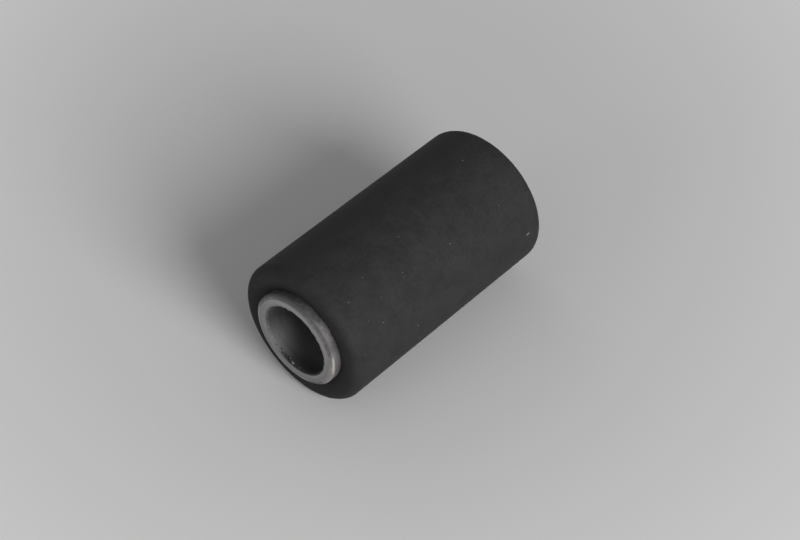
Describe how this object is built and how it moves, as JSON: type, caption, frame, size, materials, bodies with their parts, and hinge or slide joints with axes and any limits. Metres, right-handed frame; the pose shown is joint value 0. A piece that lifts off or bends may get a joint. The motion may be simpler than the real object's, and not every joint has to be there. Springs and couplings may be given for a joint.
{
  "type": "rubber metal bush",
  "caption": "Straight rubber sleeve bonded round a steel tube that stands a little proud at each end; it is pressed into an eye and a bolt passes through the bore.",
  "frame": {"origin": "the middle of the bore, half way along the tube", "axes": "+Z along the bore; the bush stands on one end of its tube, and is the same end for end and at any turn about Z"},
  "size_m": [0.03, 0.03, 0.056],
  "materials": {
    "steel": "dull bare steel, sawn ends with tumbled edges",
    "rubber": "matte charcoal black, as moulded"
  },
  "bodies": {
    "root": {"steel_tube": "steel", "rubber_sleeve": "rubber"}
  },
  "joints": []
}
